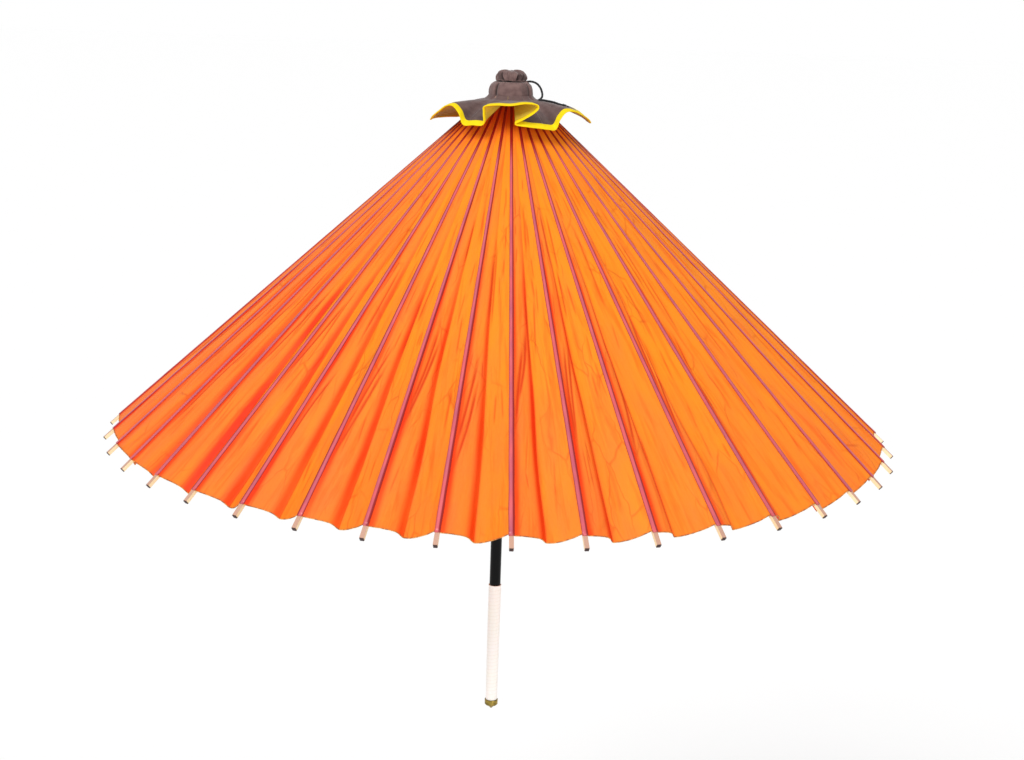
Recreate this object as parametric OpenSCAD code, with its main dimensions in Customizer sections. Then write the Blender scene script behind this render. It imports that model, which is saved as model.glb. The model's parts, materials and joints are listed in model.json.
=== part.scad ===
// Oil paper umbrella with a folding bamboo frame, shown open.
// The shaft runs along Z. The origin is the middle of the hand grip, on the shaft's axis.
// Long ribs hang from the head hub, and short ribs prop them from a runner that slides on the shaft.

/* [Shaft and grip] */
// Diameter of the lacquered shaft
shaft_d = 13.5; // [12:0.1:13.6]
// Length of the wrapped hand grip
grip_len = 148; // [120:1:150]
// Diameter over the grip's wrapping
grip_d = 15; // [14.6:0.1:15.8]
// Diameter of the brass ferrule's collar
ferrule_d = 16; // [15.9:0.1:18]
// Height of the ferrule from its point to its top
ferrule_h = 11.5; // [10:0.5:14]

/* [Ribs] */
// Number of long ribs, and of bays of paper between them
rib_count = 40; // [24:8:40]
// Length of a long rib from its thread at the hub to its tip
rib_len = 597; // [580:1:620]
// Angle between the shaft and a long rib with the umbrella open
rib_angle = 47.8; // [44:0.1:50]
// Distance from a long rib's thread to its middle joint, and length of a short rib
strut_len = 250; // [230:1:260]
// Width of a long rib at its tip
rib_tip_w = 4.6; // [3.6:0.1:4.8]
// Depth of a long rib, square to the paper
rib_depth = 4; // [3.8:0.1:4.2]

/* [Hubs] */
// Height of the head hub's thread above the ferrule's point
pivot_h = 750; // [740:1:760]
// Radius of the thread circle that the ribs turn on
pivot_r = 18; // [17.5:0.1:19]
// Length of the runner's sleeve below its thread
sleeve_len = 32; // [20:1:40]

/* [Paper] */
// Thickness of the paper cone
paper_t = 1; // [0.6:0.1:1.2]
// Length of each rib's bare tip beyond the paper
bare_tip = 15; // [10:1:20]

/* [Hood] */
// Diameter of the gathered cloth at the top
bulb_d = 36.4; // [34:0.2:38]
// Diameter of the hood's round body
body_d = 51.2; // [50:0.2:54]
// Diameter of the hood's skirt
skirt_d = 184; // [160:1:190]
// Diameter of the hood's cord
cord_d = 2.5; // [2:0.1:2.6]

/* [Hidden] */
$fn = 64;

// Heights, from the middle of the grip
point_z = -(grip_len / 2 + ferrule_h);
pivot_z = point_z + pivot_h;
runner_z = pivot_z - 2 * strut_len * cos(rib_angle);
joint_r = pivot_r + strut_len * sin(rib_angle);
joint_z = pivot_z - strut_len * cos(rib_angle);

// Fits
glue_gap = 0.05;
running_gap = 0.08;
clear = 0.3;

// Toothed hubs. Each slot takes one rib, and a thread in the groove runs through all of them.
hub_r = pivot_r + 3;
hub_half_h = 6;
slot_w = 1.6;
slot_bottom_r = pivot_r - 3.5;
thread_r = 0.5;
groove_r = thread_r + clear;
sleeve_r = 11.5;
knob_r = 10.4;
knob_top = 22;
hub_core_drop = 16;

// Rib details, with x along the rib from its thread
first_rib_azimuth = -88.4;
rib_under = 1.2;
tab_w = 1.2;
rib_eye_r = 2;
rib_joint_w = 3;
rib_root_len = 60;
rib_root_w = 1.8;
slit_back = 3;
slit_len = 45;
slit_depth = rib_under + 2;
tip_bevel = 1.2;
tip_end_w = 0.84 * rib_tip_w;
strut_count = 8;
strut_step = rib_count / strut_count;
strut_depth = 2.6;
strut_w = 2;
strut_eye_r = 1.6;
strut_thin_out = 46;
strut_thin_in = 22;
joint_pin_r = 0.45;
joint_pin_len = 2.8;

// Spring catch in the shaft, below the open runner
catch_len = 38;
catch_w = 2.6;
catch_lip = 3.6;
catch_pivot_x = 2;
catch_pin_r = 0.8;
catch_pin_len = 5.2;
catch_z = runner_z - sleeve_len - catch_len - clear;
catch_slot_w = catch_w + 2 * clear;
catch_slot_back = 4.8;

// Paper cone, above the ribs
paper_low = rib_depth - rib_under + clear;
paper_top_r = 31;
paper_edge_len = rib_len - bare_tip;
paper_start_len = (paper_top_r - pivot_r) / sin(rib_angle);

// Hood, with heights above the head hub's thread
bulb_top = 28;
neck_r = 12.6;
neck_z = 14.4;
body_foot_z = -0.8;
flare_r = 31;
flare_z = -5.6;
skirt_bend_r = 60;
skirt_bend_z = -14.5;
skirt_edge_z = -30;
cloth_t = 1.2;

// Route of the hood's cord from the tie to the knot, with heights above the head hub's thread
cord_route = [
    [14.8, -2.4, 14.5], [18, -3, 14.9], [21.6, -3.6, 15.3], [26, -4, 14.6],
    [30.2, -4.1, 12.4], [33.8, -3.8, 8], [35.8, -4.6, 2.4], [35.8, -6.8, -1.4],
    [34, -9.6, -3.8], [32.4, -14, -4.4], [33.4, -18, -4.3], [36.8, -20.6, -4.4],
    [41.6, -20.8, -5.1], [46.8, -19.2, -6], [50.6, -18, -7], [54.8, -16.3, -8.4],
    [59.6, -14.6, -9.8]
];
cord_sides = 8;
knot_r = 2.2;

function two_digits(n) = n < 10 ? str("0", n) : str(n);
function long_name(i) = str("long_rib_", two_digits(i + 1));
function short_name(i) = str("short_rib_", two_digits(i + 1));
function azimuth(i) = first_rib_azimuth + i * 360 / rib_count;

STRUTS = [for (i = [0 : strut_step : rib_count - 1]) i];

// Puts the origin on the thread of rib i, with X out along the open rib and Z square to the paper.
module on_rib(i) {
    rotate([0, 0, azimuth(i)])
        translate([pivot_r, 0, pivot_z])
            rotate([0, 90 - rib_angle, 0])
                children();
}

// Puts the origin on the middle joint of rib i, with X along its short rib towards the runner.
module on_strut(i) {
    rotate([0, 0, azimuth(i)])
        translate([joint_r, 0, joint_z])
            rotate([0, 90 + rib_angle, 0])
                children();
}

// A round bar or bore along Y, centred on the origin.
module cross_bar(r, len) {
    rotate([90, 0, 0])
        cylinder(r = r, h = len, center = true);
}

// The ring of teeth on both hubs, centred on the thread.
module toothed_ring() {
    linear_extrude(2 * hub_half_h, center = true)
        difference() {
            circle(r = hub_r);
            for (i = [0 : rib_count - 1])
                rotate(azimuth(i))
                    translate([slot_bottom_r, -slot_w / 2])
                        square([hub_r, slot_w]);
        }
}

// The groove that the thread lies in, cut from outside.
module thread_groove() {
    rotate_extrude()
        translate([pivot_r - groove_r, -groove_r])
            square([hub_r, 2 * groove_r]);
}

module thread_ring() {
    rotate_extrude()
        translate([pivot_r, 0])
            circle(r = thread_r);
}

// A long rib seen from above: thin at the hub, widest at the tip, with bevelled end corners.
module long_rib_outline() {
    polygon([
        [0, -tab_w / 2], [rib_root_len, -rib_root_w / 2], [strut_len, -rib_joint_w / 2],
        [rib_len - tip_bevel, -rib_tip_w / 2], [rib_len, -tip_end_w / 2],
        [rib_len, tip_end_w / 2], [rib_len - tip_bevel, rib_tip_w / 2],
        [strut_len, rib_joint_w / 2], [rib_root_len, rib_root_w / 2], [0, tab_w / 2]
    ]);
}

// A short rib seen along its pins: thin where it enters the long rib's slit and the runner's slot.
module short_rib_outline() {
    polygon([
        [0, -tab_w / 2], [strut_thin_out, -tab_w / 2], [strut_thin_out + strut_w, -strut_w / 2],
        [strut_len - strut_thin_in - strut_w, -strut_w / 2], [strut_len - strut_thin_in, -tab_w / 2],
        [strut_len, -tab_w / 2], [strut_len, tab_w / 2], [strut_len - strut_thin_in, tab_w / 2],
        [strut_len - strut_thin_in - strut_w, strut_w / 2], [strut_thin_out + strut_w, strut_w / 2],
        [strut_thin_out, tab_w / 2], [0, tab_w / 2]
    ]);
}

module long_rib(i) {
    color("burlywood")
        on_rib(i)
            difference() {
                union() {
                    translate([0, 0, -rib_under])
                        linear_extrude(rib_depth)
                            long_rib_outline();
                    cross_bar(rib_eye_r, tab_w);
                }
                cross_bar(thread_r + running_gap, 2 * tab_w);
                translate([strut_len, 0, 0])
                    cross_bar(joint_pin_r + running_gap, 2 * rib_joint_w);
                translate([strut_len - slit_back, -slot_w / 2, -rib_under - 1])
                    cube([slit_len, slot_w, slit_depth + 1]);
            }
}

module short_rib(i) {
    color("tan")
        on_strut(i)
            difference() {
                union() {
                    translate([0, 0, -strut_depth / 2])
                        linear_extrude(strut_depth)
                            short_rib_outline();
                    cross_bar(strut_eye_r, tab_w);
                    cross_bar(joint_pin_r, joint_pin_len);
                    translate([strut_len, 0, 0])
                        cross_bar(strut_eye_r, tab_w);
                }
                translate([strut_len, 0, 0])
                    cross_bar(thread_r + running_gap, 2 * tab_w);
            }
}

// The slot, the pin holes and the spring catch share this frame: X points out of the slot.
module on_catch() {
    rotate([0, 0, first_rib_azimuth])
        translate([0, 0, catch_z])
            children();
}

module shaft() {
    color("#141416")
        difference() {
            translate([0, 0, point_z + ferrule_h / 2])
                cylinder(d = shaft_d, h = pivot_h + knob_top - ferrule_h / 2);
            on_catch() {
                translate([-catch_slot_back, -catch_slot_w / 2, -catch_lip])
                    cube([shaft_d, catch_slot_w, catch_len + catch_lip + clear]);
                translate([catch_pivot_x, 0, 0])
                    cross_bar(catch_pin_r + running_gap, catch_pin_len + 2 * clear);
            }
        }
}

module grip_wrap() {
    color("#f6eedd")
        difference() {
            cylinder(d = grip_d, h = grip_len, center = true);
            cylinder(d = shaft_d + 2 * glue_gap, h = 2 * grip_len, center = true);
        }
}

// A cap over the shaft's foot, with a straight collar and a small blunt point.
module ferrule() {
    collar_z = ferrule_h * 0.48;
    color("#8d8146")
        translate([0, 0, point_z])
            difference() {
                rotate_extrude()
                    polygon([
                        [0, 0], [ferrule_d * 0.08, 0], [ferrule_d * 0.16, ferrule_h * 0.16],
                        [ferrule_d * 0.4, ferrule_h * 0.34], [ferrule_d / 2, collar_z],
                        [ferrule_d / 2, ferrule_h - glue_gap], [0, ferrule_h - glue_gap]
                    ]);
                translate([0, 0, ferrule_h / 2 - glue_gap])
                    cylinder(d = shaft_d + 2 * glue_gap, h = ferrule_h);
            }
}

module head_hub() {
    color("#4a3226")
        translate([0, 0, pivot_z])
            difference() {
                union() {
                    toothed_ring();
                    translate([0, 0, -hub_core_drop])
                        cylinder(r = slot_bottom_r, h = hub_core_drop);
                    cylinder(r = knob_r, h = knob_top);
                }
                cylinder(d = shaft_d + 2 * glue_gap, h = 3 * knob_top, center = true);
                thread_groove();
            }
}

module hub_thread() {
    color("#3a2a20")
        translate([0, 0, pivot_z])
            thread_ring();
}

module runner() {
    color("#5a4030")
        translate([0, 0, runner_z])
            difference() {
                union() {
                    toothed_ring();
                    translate([0, 0, -sleeve_len])
                        cylinder(r = sleeve_r, h = sleeve_len);
                }
                cylinder(d = shaft_d + 2 * running_gap, h = 3 * sleeve_len, center = true);
                thread_groove();
            }
}

module runner_thread() {
    color("#3a2a20")
        translate([0, 0, runner_z])
            thread_ring();
}

// A tongue on a cross pin. Its lip stands out of the shaft and props the runner.
module catch() {
    lip_r = shaft_d / 2 + catch_lip;
    tongue_t = 3;
    color("#b08d57")
        on_catch() {
            rotate([90, 0, 0])
                linear_extrude(catch_w, center = true)
                    polygon([
                        [catch_pivot_x - tongue_t / 2, 0], [catch_pivot_x + tongue_t / 2, 0],
                        [lip_r, catch_len - tongue_t], [lip_r, catch_len],
                        [catch_pivot_x + tongue_t / 2, catch_len],
                        [catch_pivot_x - tongue_t / 2, catch_len - tongue_t]
                    ]);
            translate([catch_pivot_x, 0, 0])
                cross_bar(tongue_t / 2, catch_w);
            translate([catch_pivot_x, 0, 0])
                cross_bar(catch_pin_r, catch_pin_len);
        }
}

// A point of the cone's section, at a length along the rib line and a height above it.
function cone_point(len, up) = [
    pivot_r + len * sin(rib_angle) + up * cos(rib_angle),
    pivot_z - len * cos(rib_angle) + up * sin(rib_angle)
];

module canopy() {
    color("#f07c26")
        rotate_extrude($fn = 128)
            polygon([
                cone_point(paper_start_len, paper_low), cone_point(paper_edge_len, paper_low),
                cone_point(paper_edge_len, paper_low + paper_t),
                cone_point(paper_start_len, paper_low + paper_t)
            ]);
}

// Gathered cloth over the hub's knob, a round body below the tie, and a flared skirt.
module hood() {
    body_r = body_d / 2;
    bulb_r = bulb_d / 2;
    skirt_r = skirt_d / 2;
    color("#6b5450")
        translate([0, 0, pivot_z])
            rotate_extrude()
                polygon([
                    [0, bulb_top], [bulb_r * 0.6, bulb_top], [bulb_r * 0.9, bulb_top - 2],
                    [bulb_r, bulb_top - 6], [bulb_r * 0.92, bulb_top - 9],
                    [neck_r, neck_z + 3], [neck_r, neck_z - 3],
                    [body_r - 2.6, neck_z - 2.6], [body_r, neck_z - 6], [body_r, body_foot_z],
                    [body_r + 2.4, body_foot_z - 2.8], [flare_r, flare_z],
                    [skirt_bend_r, skirt_bend_z], [skirt_r, skirt_edge_z],
                    [skirt_r, skirt_edge_z - cloth_t], [skirt_bend_r, skirt_bend_z - cloth_t],
                    [flare_r, flare_z - cloth_t], [body_r + 1.6, body_foot_z - 3.4],
                    [body_r - cloth_t, body_foot_z - 0.4], [body_r - cloth_t, neck_z - 6.4],
                    [body_r - 3.4, neck_z - 3.8],
                    [knob_r + clear, neck_z - 4], [knob_r + clear, knob_top + clear],
                    [0, knob_top + clear]
                ]);
}

// Two turns of cord pulled tight round the neck.
module hood_tie() {
    turn_r = neck_r + clear + cord_d / 2;
    color("#121214")
        for (turn = [-1, 1])
            translate([0, 0, pivot_z + neck_z + turn * (cord_d + glue_gap) / 2])
                rotate_extrude()
                    translate([turn_r, 0])
                        circle(d = cord_d);
}

function unit(v) = v / norm(v);
function heading(path, i) = unit(path[min(i + 1, len(path) - 1)] - path[max(i - 1, 0)]);
function ring(path, i, r, sides) =
    let (along = heading(path, i), across = unit(cross(along, [0.3, 1, 0.2])), up = cross(across, along))
    [for (k = [0 : sides - 1]) path[i] + r * (cos(k * 360 / sides) * across + sin(k * 360 / sides) * up)];

// One closed tube along a path, with flat ends.
module tube(path, r, sides) {
    last = (len(path) - 1) * sides;
    polyhedron(
        points = [for (i = [0 : len(path) - 1]) each ring(path, i, r, sides)],
        faces = concat(
            [[for (k = [sides - 1 : -1 : 0]) k]],
            [[for (k = [0 : sides - 1]) last + k]],
            [for (i = [0 : len(path) - 2], k = [0 : sides - 1])
                [i * sides + k, i * sides + (k + 1) % sides, (i + 1) * sides + (k + 1) % sides]],
            [for (i = [0 : len(path) - 2], k = [0 : sides - 1])
                [i * sides + k, (i + 1) * sides + (k + 1) % sides, (i + 1) * sides + k]]
        )
    );
}

// The free end of the hood's cord: a loop beside the neck, a tail on the skirt and a knot.
module hood_cord() {
    end = len(cord_route) - 1;
    color("#121214")
        translate([0, 0, pivot_z]) {
            tube(cord_route, cord_d / 2, cord_sides);
            translate(cord_route[end] + (knot_r + glue_gap) * heading(cord_route, end))
                sphere(r = knot_r);
        }
}

shaft();
grip_wrap();
ferrule();
head_hub();
hub_thread();
runner();
runner_thread();
catch();
canopy();
hood();
hood_tie();
hood_cord();
for (i = [0 : rib_count - 1]) long_rib(i);
for (i = STRUTS) short_rib(i);
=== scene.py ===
import json
import math

import bmesh
import bpy
import numpy as np
from mathutils import Matrix, Vector


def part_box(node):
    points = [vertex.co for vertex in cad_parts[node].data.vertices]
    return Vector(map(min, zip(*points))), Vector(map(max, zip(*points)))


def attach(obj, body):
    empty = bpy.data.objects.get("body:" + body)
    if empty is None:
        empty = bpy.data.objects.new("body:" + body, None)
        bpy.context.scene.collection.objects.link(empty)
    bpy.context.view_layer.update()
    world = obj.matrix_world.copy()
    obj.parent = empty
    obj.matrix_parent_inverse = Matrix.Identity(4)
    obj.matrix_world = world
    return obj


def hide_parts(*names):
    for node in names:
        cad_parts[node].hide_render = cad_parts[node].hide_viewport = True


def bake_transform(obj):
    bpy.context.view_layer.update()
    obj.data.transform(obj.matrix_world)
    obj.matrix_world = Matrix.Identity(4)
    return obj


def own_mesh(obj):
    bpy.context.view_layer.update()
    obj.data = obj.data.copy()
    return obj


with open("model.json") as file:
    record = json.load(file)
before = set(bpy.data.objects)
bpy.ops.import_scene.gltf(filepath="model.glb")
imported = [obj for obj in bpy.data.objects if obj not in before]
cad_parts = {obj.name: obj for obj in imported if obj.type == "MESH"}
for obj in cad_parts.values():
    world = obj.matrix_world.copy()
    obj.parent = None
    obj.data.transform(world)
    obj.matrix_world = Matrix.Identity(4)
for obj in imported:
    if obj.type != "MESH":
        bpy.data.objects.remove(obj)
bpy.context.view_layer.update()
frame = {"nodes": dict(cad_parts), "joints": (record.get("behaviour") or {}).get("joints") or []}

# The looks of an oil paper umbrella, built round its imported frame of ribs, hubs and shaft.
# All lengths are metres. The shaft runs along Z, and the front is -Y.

MM = 0.001
UP = np.array([0.0, 0.0, 1.0])

# ---- what the frame says

nodes = frame["nodes"]
joints = {joint["name"]: joint for joint in frame["joints"]}
rib_names = sorted(name for name in nodes if name.startswith("long_rib_"))
short_names = sorted(name for name in nodes if name.startswith("short_rib_"))
RIB_COUNT = len(rib_names)
BAY_ANGLE = 2 * math.pi / RIB_COUNT

pivots = [np.array(joints[name + "_hinge"]["pos_m"]) for name in rib_names]
azimuths = [math.atan2(pivot[1], pivot[0]) for pivot in pivots]
PIVOT_R = float(np.hypot(*pivots[0][:2]))
PIVOT_Z = float(pivots[0][2])
middle_joint = np.array(joints[short_names[0] + "_hinge"]["pos_m"])
STRUT_OUT = float(np.hypot(*middle_joint[:2])) - PIVOT_R
STRUT_DROP = PIVOT_Z - float(middle_joint[2])
STRUT_LEN = math.hypot(STRUT_OUT, STRUT_DROP)
RIB_SIN = STRUT_OUT / STRUT_LEN
RIB_COS = STRUT_DROP / STRUT_LEN


def points_of(name):
    """A CAD node's own points."""
    return np.array([v.co for v in nodes[name].data.vertices], float).reshape(-1, 3)


def rib_axes(i):
    """Rib i's directions: out from the shaft, across the rib, along the rib, and square to the paper."""
    angle = azimuths[i % RIB_COUNT]
    out = np.array([math.cos(angle), math.sin(angle), 0.0])
    across = np.array([-math.sin(angle), math.cos(angle), 0.0])
    along = RIB_SIN * out - RIB_COS * UP
    square = RIB_COS * out + RIB_SIN * UP
    return out, across, along, square


def reach_of(name, i):
    """How far a node's points go along rib i, and how far square to the paper."""
    _, _, along, square = rib_axes(i)
    away = points_of(name) - pivots[i]
    return float((away @ along).max()), float((away @ square).max())


RIB_LEN, RIB_TOP = reach_of(rib_names[0], 0)
PAPER_LEN = reach_of("canopy", 0)[0]
PAPER_START = (float(np.hypot(*points_of("canopy")[:, :2].T).min()) - PIVOT_R - RIB_TOP * RIB_COS) / RIB_SIN
GLUE = 0.15 * MM


def rib_place(i, length, lift=0.0, side=0.0):
    """Points at a length along rib i, a lift above its axis and a distance to its side."""
    _, across, along, square = rib_axes(i)
    length, lift, side = np.broadcast_arrays(length, lift, side)
    return (
        pivots[i % RIB_COUNT]
        + length[..., None] * along
        + lift[..., None] * square
        + side[..., None] * across
    )


# ---- small tools


def smoothstep(low, high, value):
    share = np.clip((value - low) / (high - low), 0, 1)
    return share * share * (3 - 2 * share)


def bell(value, middle, width):
    """1 at the middle, falling smoothly to nothing at about two widths from it."""
    return np.exp(-(((value - middle) / width) ** 2))


def smooth_table(points, width=0.012, samples=600):
    """A few (place, value) points as a dense smooth table for np.interp."""
    place = np.linspace(points[0][0], points[-1][0], samples)
    value = np.interp(place, *np.transpose(points))
    reach = int(3 * width * samples)
    kernel = np.exp(-0.5 * (np.arange(-reach, reach + 1) / (width * samples)) ** 2)
    before = 2 * value[0] - value[reach:0:-1]
    after = 2 * value[-1] - value[-2 : -reach - 2 : -1]
    padded = np.concatenate([before, value, after])
    return place, np.convolve(padded, kernel / kernel.sum(), "valid")


def ripple(rng, x, y, size_x, size_y, waves=9):
    """Gentle seeded unevenness from -1 to 1 over two coordinates, with features of about those sizes."""
    total = np.zeros(np.broadcast(x, y).shape)
    for _ in range(waves):
        turn_x = rng.uniform(0.5, 1.4) * rng.choice([-1, 1]) * 2 * math.pi / size_x
        turn_y = rng.uniform(0.5, 1.4) * 2 * math.pi / size_y
        total = total + np.sin(turn_x * x + turn_y * y + rng.uniform(0, 2 * math.pi))
    return total / waves * 1.6


def waver(rng, length, size):
    """Gentle seeded unevenness along a length alone."""
    return ripple(rng, 0 * length, length, 1, size)


def run_along(points):
    """How far along a path each of its points is."""
    return np.concatenate([[0], np.cumsum(np.linalg.norm(np.diff(points, axis=0), axis=1))])


def around(radius, turn, height):
    """Points at a radius, an angle round the shaft and a height."""
    radius, turn, height = np.broadcast_arrays(radius, turn, height)
    return np.stack([radius * np.cos(turn), radius * np.sin(turn), height], axis=-1)


def rounded_path(points, samples, closed=False):
    """A smooth curve through given points, with samples evenly spaced along it."""
    p = np.array(points, float)
    if closed:
        p = np.vstack([p[-1], p, p[0], p[1]])
    else:
        p = np.vstack([2 * p[0] - p[1], p, 2 * p[-1] - p[-2]])
    t = np.linspace(0, 1, 24, endpoint=False)[:, None]
    fine = []
    for a, b, c, d in zip(p, p[1:], p[2:], p[3:]):
        fine.append(
            0.5 * (2 * b + (c - a) * t + (2 * a - 5 * b + 4 * c - d) * t**2 + (3 * b - a - 3 * c + d) * t**3)
        )
    fine = np.vstack(fine + [p[-2][None]])
    run = run_along(fine)
    where = np.linspace(0, run[-1], samples, endpoint=not closed)
    return np.stack([np.interp(where, run, fine[:, k]) for k in range(fine.shape[1])], axis=1)


def new_object(name, mesh, *mats):
    piece = bpy.data.objects.new(name, mesh)
    bpy.context.scene.collection.objects.link(piece)
    for mat in mats:
        mesh.materials.append(mat)
    return piece


def grid_mesh(name, points, ring=False, tube=False, caps=False, uv=None, marks=None):
    """A smooth mesh over a grid of points, rows by columns. ring joins the last row to the first, and
    tube the last column to the first; caps closes a tube's ends. marks are float values of the points."""
    rows, cols = points.shape[:2]
    mesh = bpy.data.meshes.new(name)
    faces_down = rows if ring else rows - 1
    faces_across = cols if tube else cols - 1
    r, c = np.divmod(np.arange(faces_down * faces_across), faces_across)
    r2, c2 = (r + 1) % rows, (c + 1) % cols
    corners = np.stack([r * cols + c, r2 * cols + c, r2 * cols + c2, r * cols + c2], axis=1)
    faces = corners.tolist()
    if caps:
        faces.append(list(range(cols)))
        faces.append([(rows - 1) * cols + k for k in range(cols - 1, -1, -1)])
    mesh.from_pydata(points.reshape(-1, 3).tolist(), [], faces)
    mesh.polygons.foreach_set("use_smooth", [True] * len(faces))
    for key, value in (marks or {}).items():
        layer = mesh.attributes.new(key, "FLOAT", "POINT")
        layer.data.foreach_set("value", np.broadcast_to(value, (rows, cols)).astype(np.float32).ravel())
    if uv is not None:
        layer = mesh.uv_layers.new(name="Flat")
        index = np.zeros(len(mesh.loops), np.int32)
        mesh.loops.foreach_get("vertex_index", index)
        layer.data.foreach_set("uv", uv.reshape(-1, 2)[index].astype(np.float32).ravel())
    mesh.update()
    return mesh


def grid_piece(name, points, *mats, **options):
    """An object over a grid of points, with the options of grid_mesh."""
    return new_object(name, grid_mesh(name, points, **options), *mats)


def settle(piece, body, stands_for=None):
    """Fixes a piece to a body, and hides the CAD node that it stands for."""
    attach(piece, body)
    if stands_for:
        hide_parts(stands_for)


def fold_with(piece):
    """Gives a piece its own copy of its mesh."""
    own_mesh(piece)


def thicken(piece, thickness, second=0):
    """Gives a sheet its thickness, under the face that is drawn."""
    solid = piece.modifiers.new("Thickness", "SOLIDIFY")
    solid.thickness = thickness
    solid.offset = -1.0
    solid.material_offset = second
    return solid


def rope_grid(path, radius, pitch=5 * MM, sides=16, depth=0.16):
    """The surface of a two-strand cord along a path, with the strands' grooves winding round it."""
    path = np.array(path, float)
    heading = np.gradient(path, axis=0)
    heading /= np.linalg.norm(heading, axis=1)[:, None]
    side = np.cross(heading[0], [0.3, 0.2, 1.0])
    run = run_along(path)
    turn = np.linspace(0, 2 * math.pi, sides, endpoint=False)
    grid = []
    for point, ahead, done in zip(path, heading, run):
        side = side - ahead * (side @ ahead)
        side /= np.linalg.norm(side)
        up = np.cross(ahead, side)
        groove = np.abs(np.sin(turn - 2 * math.pi * done / pitch)) ** 0.6
        size = radius * (1 - depth * (1 - groove))
        grid.append(point + size[:, None] * (np.cos(turn)[:, None] * side + np.sin(turn)[:, None] * up))
    return np.array(grid)


# ---- camera, light and floor

LENS = 63.1
SENSOR = 36.0
EYE = (-0.0074, -2.0828, 0.7794)
YAW = math.radians(0.543)
PITCH = math.radians(-12.2)
ROLL = math.radians(1.93)


def make_camera():
    """A camera in front, a little above the head, looking down at the middle and slightly rolled."""
    data = bpy.data.cameras.new("Camera")
    data.lens = LENS
    data.sensor_width = SENSOR
    camera = bpy.data.objects.new("Camera", data)
    ahead = Vector((math.sin(YAW) * math.cos(PITCH), math.cos(YAW) * math.cos(PITCH), math.sin(PITCH)))
    level = Vector((math.cos(YAW), -math.sin(YAW), 0))
    upright = level.cross(ahead)
    right = level * math.cos(ROLL) + upright * math.sin(ROLL)
    top = upright * math.cos(ROLL) - level * math.sin(ROLL)
    turn = Matrix((right, top, -ahead)).transposed().to_4x4()
    camera.matrix_world = Matrix.Translation(EYE) @ turn
    bpy.context.scene.collection.objects.link(camera)
    bpy.context.scene.camera = camera


def make_sun(name, direction, strength, softness):
    """A light from far away; softness is the angle that it fills, in degrees."""
    data = bpy.data.lights.new(name, "SUN")
    data.energy = strength
    data.angle = math.radians(softness)
    lamp = bpy.data.objects.new(name, data)
    lamp.rotation_euler = Vector(direction).to_track_quat("-Z", "Y").to_euler()
    bpy.context.scene.collection.objects.link(lamp)


SKY = 0.6
FLOOR_DROP = 0.9
FLOOR_HALF = 60.0


def make_sky():
    """An even white sky: full white to look at, and weaker as a light."""
    world = bpy.data.worlds.new("Studio")
    bpy.context.scene.world = world
    world.use_nodes = True
    tree = world.node_tree
    light = tree.nodes["Background"]
    light.inputs["Color"].default_value = (1.0, 1.0, 1.0, 1)
    light.inputs["Strength"].default_value = SKY
    seen = tree.nodes.new("ShaderNodeBackground")
    seen.inputs["Color"].default_value = (1.0, 1.0, 1.0, 1)
    path = tree.nodes.new("ShaderNodeLightPath")
    both = tree.nodes.new("ShaderNodeMixShader")
    tree.links.new(path.outputs["Is Camera Ray"], both.inputs[0])
    tree.links.new(light.outputs[0], both.inputs[1])
    tree.links.new(seen.outputs[0], both.inputs[2])
    tree.links.new(both.outputs[0], tree.nodes["World Output"].inputs["Surface"])


def make_surroundings():
    """A pale floor well below the umbrella, a key light from the left and a weak fill."""
    make_sky()
    make_sun("Key", direction=(0.33, 0.64, -0.69), strength=1.8, softness=28)
    make_sun("Fill", direction=(-0.4, 0.9, -0.02), strength=1.0, softness=30)
    floor_z = float(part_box("ferrule")[0].z) - FLOOR_DROP
    corners = [(x * FLOOR_HALF, y * FLOOR_HALF, floor_z) for x, y in ((-1, -1), (1, -1), (1, 1), (-1, 1))]
    mesh = bpy.data.meshes.new("Floor")
    mesh.from_pydata(corners, [], [(0, 1, 2, 3)])
    floor = new_object("Floor", mesh, floor_finish())
    bpy.context.scene.view_settings.view_transform = "Standard"
    bpy.context.scene.view_settings.look = "None"
    bpy.context.scene.view_settings.exposure = 0.0


# ---- materials


def rgb(red, green, blue):
    """A colour from 0 to 255 as the shader's linear colour."""
    parts = []
    for value in (red, green, blue):
        value = value / 255
        parts.append(value / 12.92 if value <= 0.04045 else ((value + 0.055) / 1.055) ** 2.4)
    return (*parts, 1.0)


def shade(colour, share):
    """A colour at a share of its brightness."""
    return (*(value * share for value in colour[:3]), 1.0)


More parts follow.
